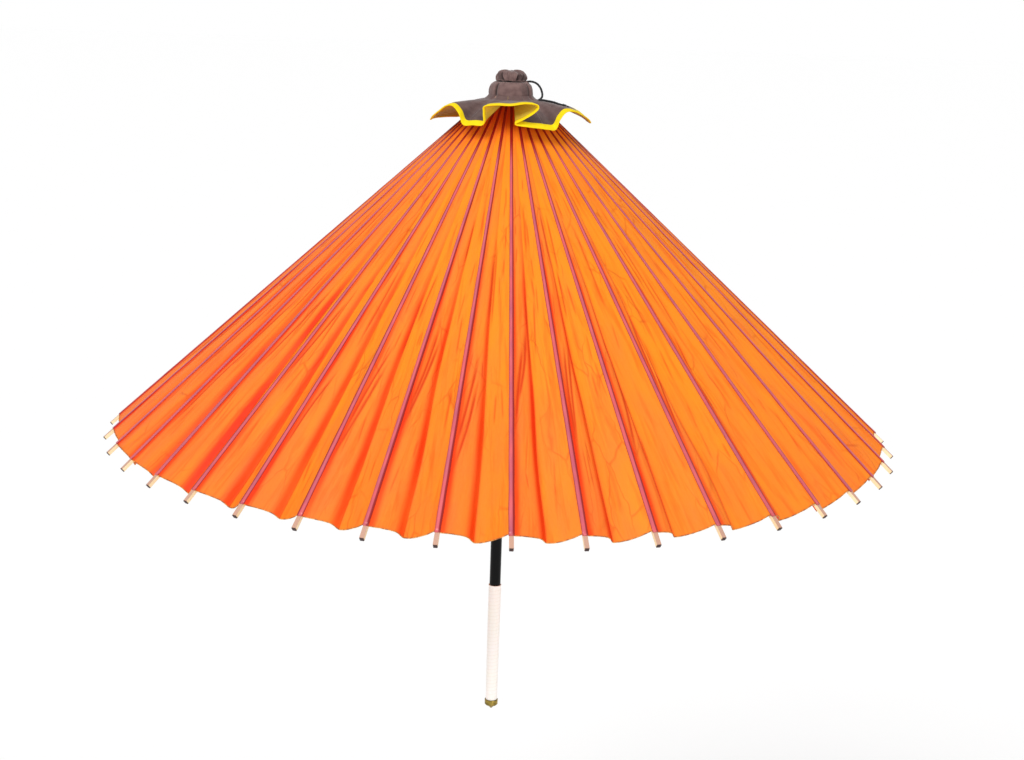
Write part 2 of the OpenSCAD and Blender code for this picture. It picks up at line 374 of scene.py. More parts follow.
class Finish:
    """A material being built: its shader, and short ways to add the nodes that drive it."""

    def __init__(self, name, roughness=0.5, specular=0.5, **sockets):
        self.material = bpy.data.materials.new(name)
        self.material.use_nodes = True
        self.tree = self.material.node_tree
        self.shader = self.tree.nodes["Principled BSDF"]
        self.shader.inputs["Roughness"].default_value = roughness
        self.shader.inputs["Specular IOR Level"].default_value = specular
        for socket, value in sockets.items():
            self.shader.inputs[socket.replace("_", " ")].default_value = value

    def put(self, socket, value):
        if isinstance(value, bpy.types.NodeSocket):
            self.tree.links.new(value, socket)
        else:
            socket.default_value = value

    def add(self, kind, settings=None, **inputs):
        """A node of a kind, with its settings and the inputs that are named."""
        node = self.tree.nodes.new("ShaderNode" + kind)
        for key, value in (settings or {}).items():
            setattr(node, key, value)
        for key, value in inputs.items():
            self.put(node.inputs[key], value)
        return node

    def place(self, flat=False, stretch=(1, 1, 1)):
        """The point on the piece, from its flat map or in the object's own space, stretched."""
        return self.stretched(self.add("TexCoord").outputs["UV" if flat else "Object"], stretch)

    def stretched(self, where, stretch):
        return self.add("Mapping", Vector=where, Scale=stretch).outputs["Vector"]

    def warped(self, where, scale, amount):
        """A place pushed about by up to an amount."""
        push = self.add("TexNoise", Vector=where, Scale=scale, Detail=2.0).outputs["Color"]
        return self.calc("MULTIPLY_ADD", push, (amount, amount, 0), where, kind="VectorMath")

    def cracks(self, where, scale):
        """The distance to the nearest line of a branching net."""
        edges = {"feature": "DISTANCE_TO_EDGE"}
        return self.add("TexVoronoi", edges, Vector=where, Scale=scale).outputs["Distance"]

    def noise(self, where, scale, detail=3.0, roughness=0.55, distortion=0.0):
        node = self.add("TexNoise", Vector=where, Scale=scale, Detail=detail, Roughness=roughness)
        node.inputs["Distortion"].default_value = distortion
        return node.outputs["Fac"]

    def wave(self, where, scale, distortion=0.0, direction="X"):
        bands = {"bands_direction": direction}
        return self.add("TexWave", bands, Vector=where, Scale=scale, Distortion=distortion).outputs["Fac"]

    def mark(self, name):
        """The value of one of the mesh's own marks."""
        return self.add("Attribute", {"attribute_name": name}).outputs["Fac"]

    def span(self, value, low, high, new_low=0.0, new_high=1.0):
        """A value with its range from low to high moved to new_low and new_high."""
        ends = {"From Min": low, "From Max": high, "To Min": new_low, "To Max": new_high}
        return self.add("MapRange", Value=value, **ends).outputs["Result"]

    def calc(self, operation, *values, kind="Math", output=0):
        node = self.add(kind, {"operation": operation})
        for socket, value in zip(node.inputs, values):
            self.put(socket, value)
        return node.outputs[output]

    def times(self, a, b):
        return self.calc("MULTIPLY", a, b)

    def mix(self, share, a, b):
        """Colour a turned into colour b by a share."""
        node = self.add("Mix", {"data_type": "RGBA"})
        for socket, value in zip((node.inputs[0], node.inputs[6], node.inputs[7]), (share, a, b)):
            self.put(socket, value)
        return node.outputs[2]

    def bump(self, height, distance, strength=1.0, under=None):
        node = self.add("Bump", Height=height, Distance=distance, Strength=strength)
        if under is not None:
            self.put(node.inputs["Normal"], under)
        return node.outputs["Normal"]

    def finish(self, colour=None, roughness=None, normal=None):
        for socket, value in (("Base Color", colour), ("Roughness", roughness), ("Normal", normal)):
            if value is not None:
                self.put(self.shader.inputs[socket], value)
        return self.material

    def translucent(self, colour, share, normal):
        """Lets a share of the light through, as thin paper does."""
        glow = self.add("BsdfTranslucent", Color=colour, Normal=normal)
        both = self.add("MixShader")
        for socket, value in zip(both.inputs, (share, self.shader.outputs["BSDF"], glow.outputs["BSDF"])):
            self.put(socket, value)
        self.put(self.tree.nodes["Material Output"].inputs["Surface"], both.outputs["Shader"])


def floor_finish():
    made = Finish("floor_paint", roughness=0.9, specular=0.1)
    speck = made.noise(made.place(), 3.0)
    return made.finish(colour=made.mix(speck, rgb(254, 254, 254), rgb(255, 255, 255)))


def paper_finish():
    """Oiled orange paper: fibres, clouding, creases, painted shade in the creases and folds, painted light on
    the facets that rise to the next rib, and light through it.
    """
    made = Finish("oiled_paper", roughness=0.5, specular=0.2)
    flat = made.place(flat=True)
    cloud = made.noise(made.stretched(flat, (1, 0.35, 1)), 34, detail=4, roughness=0.6)
    fibres = made.noise(made.stretched(flat, (1, 0.28, 1)), 620, detail=5, roughness=0.7, distortion=0.6)
    streak = made.noise(made.stretched(flat, (1, 0.07, 1)), 150, detail=4, roughness=0.6, distortion=0.5)
    net = made.cracks(made.stretched(made.warped(flat, 34, 12 * MM), (1, 0.26, 1)), 55)
    patch = made.span(made.noise(made.stretched(flat, (1, 0.5, 1)), 17, detail=2), 0.5, 0.62)
    crease = made.times(made.span(net, 0.0, 0.035, 1, 0), patch)
    # The warm mark is painted light: yellower where the paper rises to the next rib and tilts towards the key
    # light. Random clouding is added to it.
    warm = made.calc("ADD", made.mark("warm"), made.span(cloud, 0.3, 0.7, -0.28, 0.28))
    base = made.mix(warm, rgb(253, 128, 50), rgb(255, 150, 26))
    base = made.mix(made.span(fibres, 0.4, 0.75, 0, 0.2), base, rgb(255, 162, 62))
    base = made.mix(made.span(streak, 0.5, 0.7, 0, 0.5), base, rgb(250, 90, 10))
    # Painted shade along the net's fine creases.
    base = made.mix(made.times(crease, 0.42), base, rgb(206, 62, 8))
    # Painted shade in the crease, and beside each rib painted shadow of the ridge together with glue
    # staining.
    base = made.mix(made.mark("shade_and_glue"), base, rgb(246, 46, 2))
    # Painted shade along the wrinkles' grooves.
    base = made.mix(made.times(made.mark("wrinkle_shade"), 0.9), base, rgb(222, 50, 6))
    # Deep red near the hood: the doubled paper there, deepened by painted shade.
    base = made.mix(made.mark("head"), base, rgb(226, 40, 4))
    # Darker at the hem: a painted dark outline and shade along the edge.
    base = made.mix(made.mark("hem"), base, rgb(176, 92, 44))
    relief = made.bump(made.calc("SUBTRACT", streak, made.times(crease, 0.6)), 0.45 * MM, 0.6)
    relief = made.bump(fibres, 0.06 * MM, 0.5, under=relief)
    made.translucent(made.mix(0.5, base, rgb(244, 70, 6)), 0.2, normal=relief)
    return made.finish(colour=base, roughness=made.span(fibres, 0.2, 0.8, 0.42, 0.6), normal=relief)


def hem_finish():
    """The paper's rolled edge, darker than the paper as a painted dark outline and shade along the edge."""
    made = Finish("paper_hem", roughness=0.55, specular=0.3)
    mottle = made.noise(made.place(), 260, detail=3)
    return made.finish(colour=made.mix(made.span(mottle, 0.4, 0.6), rgb(150, 84, 44), rgb(226, 160, 76)))


def ridge_finish():
    """Lacquer over each rib: dull mauve on its crown as a painted sheen, dark red along its edges as painted
    shade, and dark red near the head.
    """
    made = Finish("ridge_lacquer", roughness=0.42, specular=0.45, Coat_Weight=0.25, Coat_Roughness=0.25)
    flat = made.place(flat=True)
    streak = made.noise(made.place(flat=True, stretch=(1, 0.05, 1)), 700, detail=4)
    patch = made.noise(flat, 30, detail=2)
    # The crown's mauve is a painted sheen: the lacquer's glare painted into its colour.
    crown = made.mix(made.span(patch, 0.35, 0.65), rgb(214, 84, 94), rgb(182, 80, 102))
    crown = made.mix(made.span(streak, 0.4, 0.7, 0, 0.5), crown, rgb(224, 106, 108))
    # Painted shade along the ridge's edges.
    colour = made.mix(made.mark("edge"), crown, rgb(146, 14, 18))
    colour = made.mix(made.mark("head"), colour, rgb(146, 6, 10))
    relief = made.bump(streak, 0.12 * MM, 0.5)
    return made.finish(colour=colour, roughness=made.span(streak, 0.2, 0.8, 0.34, 0.5), normal=relief)


def bamboo_finish(name, pale, warm, dark):
    """Split bamboo: long fibres, a few dark strands and a soft variation along the length."""
    made = Finish(name, roughness=0.48, specular=0.4)
    fine = made.noise(made.place(), 1500, detail=4, roughness=0.7)
    broad = made.noise(made.place(), 24, detail=2)
    colour = made.mix(made.span(broad, 0.3, 0.7), pale, warm)
    colour = made.mix(made.span(fine, 0.5, 0.8, 0, 0.55), colour, dark)
    return made, fine, colour


def short_rib_finish():
    """The short ribs' bamboo, darker than the long ribs'."""
    colours = rgb(214, 170, 112), rgb(194, 146, 92), rgb(128, 86, 52)
    made, fine, colour = bamboo_finish("short_rib_bamboo", *colours)
    return made.finish(colour=colour, roughness=0.5, normal=made.bump(fine, 0.1 * MM, 0.6))


def long_rib_finish():
    """Pale split bamboo, stained by the lacquer on its upper face and dark on its cut end."""
    colours = rgb(246, 226, 184), rgb(236, 204, 156), rgb(176, 130, 88)
    made, fine, colour = bamboo_finish("rib_bamboo", *colours)
    place = made.place()
    level = made.calc("MULTIPLY", place, (1, 1, 0), kind="VectorMath")
    radius = made.calc("LENGTH", level, kind="VectorMath", output="Value")
    height = made.add("SeparateXYZ", Vector=place).outputs["Z"]
    run = made.calc("SUBTRACT", made.times(radius, RIB_SIN), made.times(height, RIB_COS))
    lift = made.calc("ADD", made.times(radius, RIB_COS), made.times(height, RIB_SIN))
    run_end = PIVOT_R * RIB_SIN - PIVOT_Z * RIB_COS + RIB_LEN
    lift_top = PIVOT_R * RIB_COS + PIVOT_Z * RIB_SIN + RIB_TOP
    stain = made.times(made.span(lift, lift_top - 0.5 * MM, lift_top - 0.1 * MM), 0.75)
    colour = made.mix(stain, colour, made.mix(fine, rgb(150, 92, 88), rgb(206, 152, 140)))
    colour = made.mix(made.span(run, run_end - 1.5 * MM, run_end - 0.7 * MM), colour, rgb(48, 20, 18))
    return made.finish(colour=colour, roughness=0.5, normal=made.bump(fine, 0.1 * MM, 0.6))


def lacquer_finish():
    """Black lacquer on the shaft, glossy, with faint orange peel and fine rubbed scratches."""
    made = Finish("black_lacquer", roughness=0.2, specular=0.1, Coat_Weight=0.08, Coat_Roughness=0.05)
    peel = made.noise(made.place(), 260, detail=2)
    scratch = made.noise(made.place(stretch=(1, 1, 0.04)), 1800, detail=3)
    colour = made.mix(made.span(scratch, 0.6, 0.8, 0, 0.5), rgb(4, 4, 5), rgb(14, 13, 15))
    relief = made.bump(peel, 0.12 * MM, 0.25)
    return made.finish(colour=colour, roughness=made.span(scratch, 0.4, 0.8, 0.12, 0.3), normal=relief)


def grip_finish():
    """Cream cane strip wound round the handle, with fine grain along the strip and dust in the joints."""
    made = Finish("cream_cane", roughness=0.42, specular=0.4, Coat_Weight=0.15, Coat_Roughness=0.3)
    grain = made.noise(made.place(flat=True, stretch=(0.08, 1, 1)), 2400, detail=4)
    cloud = made.noise(made.place(flat=True), 40, detail=3)
    colour = made.mix(made.span(cloud, 0.3, 0.7), rgb(251, 255, 246), rgb(254, 255, 252))
    colour = made.mix(made.span(grain, 0.55, 0.8, 0, 0.2), colour, rgb(240, 230, 208))
    colour = made.mix(made.times(made.mark("joint"), 0.25), colour, rgb(214, 202, 176))
    relief = made.bump(grain, 0.05 * MM, 0.5)
    return made.finish(colour=colour, normal=relief)


def brass_finish():
    made = Finish("aged_brass", roughness=0.38, Metallic=0.85)
    tarnish = made.noise(made.place(), 180, detail=5, roughness=0.65)
    turning = made.wave(made.place(), 900, distortion=0.4, direction="Z")
    colour = made.mix(made.span(tarnish, 0.35, 0.65), rgb(170, 146, 70), rgb(104, 92, 44))
    relief = made.bump(turning, 0.03 * MM, 0.3)
    return made.finish(colour=colour, roughness=made.span(tarnish, 0.3, 0.7, 0.28, 0.55), normal=relief)


def hub_finish():
    """Turned dark wood of the hubs."""
    made = Finish("hub_wood", roughness=0.45, specular=0.4)
    grain = made.noise(made.place(stretch=(1, 1, 0.12)), 620, detail=5)
    colour = made.mix(made.span(grain, 0.3, 0.7), rgb(58, 34, 24), rgb(104, 68, 48))
    relief = made.bump(grain, 0.1 * MM, 0.5)
    return made.finish(colour=colour, roughness=made.span(grain, 0.3, 0.7, 0.38, 0.6), normal=relief)


def thread_finish():
    made = Finish("waxed_thread", roughness=0.7, specular=0.25)
    twist = made.wave(made.place(stretch=(1, 1, 2.4)), 900, distortion=1.5, direction="DIAGONAL")
    colour = made.mix(twist, rgb(40, 28, 22), rgb(86, 64, 50))
    return made.finish(colour=colour, normal=made.bump(twist, 0.15 * MM, 0.7))


def cloth_finish(name, light, dark, weave_scale, sheen=0.0):
    """Plain-woven cloth: over-and-under threads, slubs, soft clouding and painted shade where the mesh marks
    it.
    """
    made = Finish(name, roughness=0.72, specular=0.25, Sheen_Weight=sheen, Sheen_Roughness=0.4)
    flat = made.place(flat=True)
    warp = made.wave(flat, weave_scale, distortion=0.25, direction="X")
    weft = made.wave(flat, weave_scale, distortion=0.25, direction="Y")
    weave = made.times(warp, weft)
    slub = made.noise(made.place(flat=True, stretch=(0.15, 1, 1)), 900, detail=3)
    cloud = made.noise(flat, 110, detail=3)
    colour = made.mix(made.span(cloud, 0.3, 0.7), dark, light)
    colour = made.mix(made.span(weave, 0, 0.8, 0.35, 0), colour, shade(dark, 0.62))
    colour = made.mix(made.span(slub, 0.55, 0.8, 0, 0.25), colour, light)
    # Painted shade where the mesh marks it: in the hood's tucks, pleats and neck, and over its skirt.
    colour = made.mix(made.times(made.mark("cloth_shade"), 0.85), colour, shade(dark, 0.16))
    relief = made.bump(weave, 0.12 * MM, 0.6)
    relief = made.bump(cloud, 0.3 * MM, 0.3, under=relief)
    return made.finish(colour=colour, normal=relief)


def cord_finish():
    made = Finish("black_cord", roughness=0.6, specular=0.3, Sheen_Weight=0.2)
    fibre = made.noise(made.place(flat=True, stretch=(1, 0.2, 1)), 2600, detail=4)
    colour = made.mix(fibre, rgb(10, 10, 11), rgb(34, 33, 36))
    return made.finish(colour=colour, normal=made.bump(fibre, 0.08 * MM, 0.6))


# ---- hood cord and tie

HOOD_TIE_RIB = 8


def above_hub(points):
    """Points given in millimetres above the head hub's thread, in metres in the frame."""
    return np.array(points, float) * MM + np.array([0, 0, PIVOT_Z])


CORD_D = 2.5 * MM
CORD_PITCH = 6.5 * MM
CORD_ROUTE = [
    (14.8, -2.4, 14.5), (18, -3, 14.9), (21.6, -3.6, 15.3), (26, -4, 14.6),
    (30.2, -4.1, 12.4), (33.8, -3.8, 8), (35.8, -4.6, 2.4), (35.8, -6.8, -1.4),
    (34, -9.6, -3.8), (32.4, -14, -4.4), (33.4, -18, -4.3), (36.8, -20.6, -4.4),
    (41.6, -20.8, -5.1), (46.8, -19.2, -6), (50.6, -18, -7), (54.8, -16.3, -8.4),
    (59.6, -14.6, -9.8),
]


def make_knot(end, ahead, finish):
    """The cord's end tied in a small tight knot, with a short frayed tuft beyond it."""
    size = 1.45 * MM
    t = np.linspace(0, 2 * math.pi, 120, endpoint=False)
    knot = np.stack([np.sin(t) + 2 * np.sin(2 * t), np.cos(t) - 2 * np.cos(2 * t), -np.sin(3 * t)], axis=1)
    knot = knot * size * 0.42
    ahead = ahead / np.linalg.norm(ahead)
    side = np.cross(ahead, UP)
    side /= np.linalg.norm(side)
    up = np.cross(side, ahead)
    centre = end + ahead * 1.9 * MM + UP * 0.5 * MM
    loop = centre + knot[:, :1] * side + knot[:, 1:2] * ahead * 1.15 + knot[:, 2:] * up
    grid = rope_grid(loop, 0.8 * MM, pitch=3 * MM, sides=10)
    parts = [grid_mesh("knot_part", grid, ring=True, tube=True, uv=np.zeros((*grid.shape[:2], 2)))]
    rng = np.random.default_rng(7)
    for _ in range(14):
        spread = rng.normal(0, 0.42, 2)
        run = np.linspace(0, 1, 8)[:, None]
        reach = rng.uniform(3.2, 5.6) * MM
        heading = ahead + spread[0] * side + abs(spread[1]) * 0.5 * up
        strand = centre + ahead * 1.5 * MM + run * reach * heading
        strand = strand - UP * (run**2) * 1.4 * MM
        hair = rope_grid(strand, 0.16 * MM, sides=5, depth=0)
        parts.append(grid_mesh("knot_part", hair, tube=True, caps=True, uv=np.zeros((*hair.shape[:2], 2))))
    mesh = joined("hood_cord_knot", parts)
    return new_object("hood_cord_knot", mesh, finish)


def joined(name, meshes):
    """Several meshes as one."""
    work = bmesh.new()
    for mesh in meshes:
        work.from_mesh(mesh)
    made = bpy.data.meshes.new(name)
    work.to_mesh(made)
    work.free()
    return made


def flat_map(grid):
    """A flat map of a grid in metres: across its columns and along its rows."""
    across = np.linalg.norm(np.diff(grid, axis=1, prepend=grid[:, :1]), axis=2).cumsum(axis=1)
    along = np.linalg.norm(np.diff(grid, axis=0, prepend=grid[:1]), axis=2).cumsum(axis=0)
    return np.stack([across, along], axis=2)


def make_cord(finish):
    """The free end of the hood's cord: a loop beside the neck, a tail on the skirt and a knot."""
    route = above_hub(CORD_ROUTE)
    path = rounded_path(route, 150)
    grid = rope_grid(path, CORD_D / 2, pitch=CORD_PITCH, sides=16)
    cord = grid_piece("hood_cord_twist", grid, finish, tube=True, caps=True, uv=flat_map(grid))
    knot = make_knot(path[-1], path[-1] - path[-4], finish)
    rib = rib_names[HOOD_TIE_RIB]
    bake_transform(cord)
    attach(knot, rib)
    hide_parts("hood_cord")


def make_tie(finish):
    """Two turns of the same cord pulled tight round the neck."""
    low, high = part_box("hood_tie")
    turn_r = float(high.x) - CORD_D / 2
    middle = float(low.z + high.z) / 2
    t = np.linspace(0, 4 * math.pi, 241)
    rise = (t / (4 * math.pi) - 0.5) * 2 * CORD_D * 0.98
    grid = rope_grid(around(turn_r, t, middle + rise), CORD_D / 2 * 0.98, pitch=CORD_PITCH, sides=14)
    tie = grid_piece("hood_tie_turns", grid, finish, tube=True, caps=True, uv=flat_map(grid))
    settle(tie, "root", "hood_tie")


# ---- paper canopy

# Across one bay, from a rib to the next: how deep the paper hangs, as a share of its depth.
BAY_PROFILE = smooth_table([
    (0, 0), (0.03, 0.015), (0.06, 0.05), (0.2, 0.13), (0.33, 0.25), (0.42, 0.42), (0.47, 0.6),
    (0.505, 0.86), (0.535, 1), (0.6, 0.96), (0.68, 0.84), (0.78, 0.6), (0.88, 0.33), (0.96, 0.09), (1, 0),
], width=0.008)
# Across one bay: how far the hem reaches past its length at the rib, in metres.
HEM_PROFILE = smooth_table([
    (0, -0.0006), (0.05, 0.0002), (0.3, 0.0002), (0.42, 0), (0.47, 0.0004), (0.53, 0.0014),
    (0.62, 0.0016), (0.75, 0.001), (0.86, 0), (0.94, -0.0016), (0.965, -0.0021), (1, -0.0006),
], width=0.009)
# Across one bay: where the paper is painted a deep red-orange: painted shade in the crease, and beside the
# rib painted shadow of the ridge together with glue staining.
RIB_SHADOW_AND_GLUE = smooth_table([
    (0, 0.2), (0.025, 0.9), (0.05, 1), (0.085, 0.9), (0.12, 0.35), (0.16, 0), (0.97, 0), (1, 0.4),
], width=0.006)
CREASE_SHADE = smooth_table([
    (0, 0), (0.37, 0), (0.42, 0.28), (0.47, 0.9), (0.515, 1), (0.535, 0.6), (0.55, 0.08), (0.6, 0), (1, 0),
], width=0.005)
# Across one bay: painted light, more yellow between the crease and the next rib, where the paper tilts
# towards the key light.
LIT_FACET_PROFILE = smooth_table([
    (0, 0.05), (0.12, 0.1), (0.3, 0.42), (0.5, 0.3), (0.56, 0.95), (0.75, 0.75), (0.92, 1), (1, 0.8),
], width=0.012)
# Where the crease lies in the profiles above.
CREASE = 0.53
HEM_ROLL = 0.45 * MM
# The rows of points along a gore, closer together at its hem, as shares of its length.
ROWS = np.concatenate([np.linspace(0, 1, 165)[:-1], [0.9965, 0.9982, 1]])
PAPER_T = 0.3 * MM
# How far apart the pieces lie in the cloth's or paper's flat map.
GORE_SPACE = 0.11


def bay_columns():
    """Places across a bay, closer together beside the rib and at the crease."""
    parts = [
        np.linspace(0, 0.1, 13, endpoint=False),
        np.linspace(0.1, 0.43, 26, endpoint=False),
        np.linspace(0.43, CREASE, 11, endpoint=False),
        np.linspace(CREASE, 0.62, 9, endpoint=False),
        np.linspace(0.62, 0.96, 26, endpoint=False),
        np.linspace(0.96, 1, 4),
    ]
    return np.concatenate(parts)


def groove(across, length, path, width):
    """A crease along a path of (across, length) points: its height from -1 in its groove to a low bank
    on one side, and its painted shade from 0 to 1, darkest along the groove. Both thin out towards the path's
    ends."""
    nearest = np.full(across.shape, 1.0)
    share = np.zeros(across.shape)
    side = np.ones(across.shape)
    for k, (a, b) in enumerate(zip(path, path[1:])):
        span = b - a
        t = np.clip(((across - a[0]) * span[0] + (length - a[1]) * span[1]) / (span @ span), 0, 1)
        off_across = across - a[0] - t * span[0]
        off_length = length - a[1] - t * span[1]
        away = np.hypot(off_across, off_length)
        closer = away < nearest
        nearest = np.where(closer, away, nearest)
        share = np.where(closer, (k + t) / (len(path) - 1), share)
        side = np.where(closer, np.where(off_across * span[1] > off_length * span[0], 1.0, -1.0), side)
    ends = smoothstep(0, 0.3, share) * smoothstep(0, 0.3, 1 - share)
    away = nearest / width * side
    height = 0.45 * bell(away, 1.6, 1) - bell(away, 0, 1)
    # Painted shade, darkest along the groove.
    stain = bell(away, 0, np.where(away < 0, 1.1, 0.6))
    return ends * height, ends * stain


def bay_creases(rng, hem_w):
    """One bay's creases as (path of (across, length) points, width, depth). across is in metres from
    the first rib."""

    def at(share, length):
        return (share * hem_w * length / PAPER_LEN, length)

    creases = []
    for _ in range(rng.choice([1, 2, 2])):
        top = rng.uniform(0.28, 0.41)
        low = top + rng.uniform(0.11, 0.15)
        start = rng.uniform(0.26, 0.42)
        end = rng.uniform(0.05, 0.13)
        middle = at(start * 0.42 + end * 0.58 + rng.uniform(-0.05, 0.09), (top + low) / 2)
        path = [at(start, top), middle, at(end, low)]
        creases.append((path, rng.uniform(1.3, 2.1), rng.uniform(0.55, 0.95)))
    for _ in range(rng.integers(1, 4)):
        top = rng.uniform(0.16, 0.3)
        low = top + rng.uniform(0.07, 0.14)
        start = rng.uniform(0.3, 0.75)
        end = start + (0.45 - start) * rng.uniform(0.1, 0.5)
        creases.append(([at(start, top), at(end, low)], rng.uniform(0.9, 1.4), rng.uniform(0.3, 0.5)))
    for _ in range(rng.integers(9, 14)):
        top = rng.uniform(0.12, 0.52)
        low = top + rng.uniform(0.02, 0.06)
        start = rng.choice([rng.uniform(0.12, 0.42), rng.uniform(0.6, 0.92)])
        end = start + rng.uniform(-0.09, 0.06)
        creases.append(([at(start, top), at(end, low)], rng.uniform(0.7, 1.1), rng.uniform(0.12, 0.28)))
    return creases


def bay_wrinkles(rng, length, across, hem_w):
    """The unevenness of one bay's paper: its height, and how strongly painted shade darkens its creases."""
    height = ripple(rng, across, length, 30 * MM, 130 * MM) * 0.5 * MM
    height = height + ripple(rng, across, length, 9 * MM, 60 * MM) * 0.12 * MM
    groove_shade = np.zeros(length.shape)
    for path, width, depth in bay_creases(rng, hem_w):
        rise, stain = groove(across, length, rounded_path(path, 8), width * MM)
        height = height + rise * depth * MM
        groove_shade = np.maximum(groove_shade, stain * min(1.0, 0.35 + depth))
    return height, groove_shade


def crease_lean(i):
    """How far a bay's crease leans off its usual place, as a share of the bay: it wanders from one side
    to the other round the front of the canopy."""
    middle = azimuths[i] + BAY_ANGLE / 2 + math.pi / 2
    middle = (middle + math.pi) % (2 * math.pi) - math.pi
    lean = -0.25 * math.copysign(1, middle)
    if abs(middle) < 1.1:
        lean = -0.17 * float(np.clip(math.tan(1.25 * middle), -1.5, 1.5))
    return lean * (1 - float(smoothstep(1.1, 2.2, abs(middle))))


def bay_surface(i, columns):
    """The paper between rib i and the next: its points, its colour marks, and where each point is."""
    rng = np.random.default_rng(400 + i)
    hem = PAPER_LEN + np.interp(columns, *HEM_PROFILE)
    length = PAPER_START + (hem[None, :] - PAPER_START) * ROWS[:, None]
    here = rib_place(i, length, RIB_TOP + GLUE)
    there = rib_place(i + 1, length, RIB_TOP + GLUE)
    width = np.linalg.norm(there - here, axis=2)
    grow = smoothstep(0.1, 0.5, length)
    deep = width * (0.05 + 0.135 * smoothstep(0.12, 0.58, length)) * rng.uniform(0.85, 1.15)
    deep = deep * (1 + 0.1 * waver(rng, length, 0.25))
    cut = 0.41 + 0.05 * smoothstep(0.3, 0.53, length) + crease_lean(i) + rng.uniform(-0.03, 0.03)
    cut = np.clip(cut + 0.03 * waver(rng, length, 0.22) * grow, 0.14, 0.8)
    before = columns * cut / CREASE
    after = cut + (columns - CREASE) * (1 - cut) / (1 - CREASE)
    share = np.where(columns < CREASE, before, after)
    sag = deep * np.interp(columns, *BAY_PROFILE)
    height, wrinkle_shade = bay_wrinkles(rng, length, share * width, float(width.max()))
    held = smoothstep(0.0, 0.09, share) * smoothstep(0.0, 0.07, 1 - share)
    held = held * smoothstep(PAPER_START, PAPER_START + 0.06, length)
    square = rib_axes(i)[3] + rib_axes(i + 1)[3]
    square /= np.linalg.norm(square)
    points = here + (there - here) * share[..., None] + (height * held - sag)[..., None] * square
    # Painted shadow of the ridge beside the rib, together with glue staining there.
    beside = np.interp(share, *RIB_SHADOW_AND_GLUE) * rng.uniform(0.7, 1.1)
    beside = beside * smoothstep(0.08, 0.3, length) * (1 + 0.3 * waver(rng, length, 0.2))
    # Painted shade in the crease.
    crease = np.interp(columns, *CREASE_SHADE) * rng.uniform(0.7, 1.05)
    crease = crease * smoothstep(0.16, 0.36, length) * (1 + 0.3 * waver(rng, length, 0.15))
    # Painted light: yellower between the crease and the next rib, where the paper tilts towards the key
    # light, and more so higher up.
    warm = np.interp(columns, *LIT_FACET_PROFILE) * rng.uniform(0.85, 1.1)
    marks = {
        "shade_and_glue": np.clip(np.maximum(beside, crease), 0, 1) * 0.9,
        "warm": warm * (1.2 - 0.5 * smoothstep(0.25, 0.55, length)),
        "wrinkle_shade": wrinkle_shade * held,
        # Deep red near the hood: the doubled paper there, deepened by painted shade.
        "head": 0.8 * (1 - smoothstep(0.03, 0.085, length)) + 0 * columns,
        # Darker at the hem: a painted dark outline and shade along the edge.
        "hem": 0.6 * smoothstep(0, 1.6 * MM, length - hem + 1.6 * MM),
    }
    return {"points": points, "marks": marks, "across": share * width, "width": width, "length": length}


def make_paper(finish, edge_finish):
    """Forty gores, each glued over its own rib and meeting the next in a crease between ribs."""
    columns = bay_columns()
    split = int(np.argmin(np.abs(columns - CREASE)))
    bays = [bay_surface(i, columns) for i in range(RIB_COUNT)]

    def across_rib(before, after):
        return np.concatenate([before[:, split:], after[:, 1 : split + 1]], axis=1)

    for i, name in enumerate(rib_names):
        before = bays[i - 1]
        after = bays[i]
        points = across_rib(before["points"], after["points"])
        marks = {key: across_rib(before["marks"][key], after["marks"][key]) for key in after["marks"]}
        across = across_rib(before["across"] - before["width"], after["across"]) + i * GORE_SPACE
        flat = np.stack([across, across_rib(before["length"], after["length"])], axis=2)
        number = name[-2:]
        gore = grid_piece("paper_gore_" + number, points, finish, uv=flat, marks=marks)
        thicken(gore, PAPER_T)
        hem = rope_grid(points[-1], HEM_ROLL, sides=8, depth=0)
        roll = grid_piece("paper_hem_" + number, hem, edge_finish, tube=True, caps=True)
        settle(gore, name, "canopy")
        settle(roll, name)
        for piece in (gore, roll):
            fold_with(piece)


RIDGE_TOP_W = 2.6 * MM
RIDGE_HEM_W = 5.9 * MM


def make_ridges(finish):
    """The lacquered strip that covers each rib, rounded over and a little uneven, from hood to hem."""
    turn = np.linspace(0, 2 * math.pi, 18, endpoint=False)
    for i, name in enumerate(rib_names):
        rng = np.random.default_rng(900 + i)
        # The edge mark paints shade along the ridge's sides, heavier on one side that is chosen by the rib's
        # place round the umbrella.
        far = np.cos(turn) if -2.0 < azimuths[i] < math.pi / 2 else -np.cos(turn)
        edge = smoothstep(0.15, 0.5, far) + 0.8 * smoothstep(0.65, 0.92, -far)
        length = np.linspace(PAPER_START + 1 * MM, PAPER_LEN + 0.2 * MM, 130)[:, None]
        share = (length - PAPER_START) / (PAPER_LEN - PAPER_START)
        wide = RIDGE_TOP_W + (RIDGE_HEM_W - RIDGE_TOP_W) * np.clip(share, 0, 1) ** 0.75
        wide = wide * (1 + 0.06 * waver(rng, length, 0.05))
        crown = (0.6 + 0.4 * share) * MM * (1 + 0.1 * waver(rng, length, 0.04))
        under = 0.9 * MM * share + 0.25 * MM
        side = np.cos(turn) * wide / 2
        over = np.sin(turn)
        lift = RIB_TOP + GLUE + np.where(over > 0, over * crown, over * under)
        points = rib_place(i, length + 0 * side, lift, side)
        flat = np.stack([turn * 1.2 * MM + i * 0.02 + 0 * length, length + 0 * side], axis=2)
        head = (1 - smoothstep(0.07, 0.115, length)) * np.ones_like(side)
        marks = {"edge": edge, "head": head}
        ridge_name = "rib_ridge_" + name[-2:]
        ridge = grid_piece(ridge_name, points, finish, tube=True, caps=True, uv=flat, marks=marks)
        settle(ridge, name)


# ---- hood

# The cloth's turn from the hood's wall to its skirt, as (radius, height above the hub), in millimetres.
FLARE = [(25.1, -0.4), (26.2, -2.1), (27.9, -3.8), (30.5, -5.4)]
FLARE_SHARE = 0.12
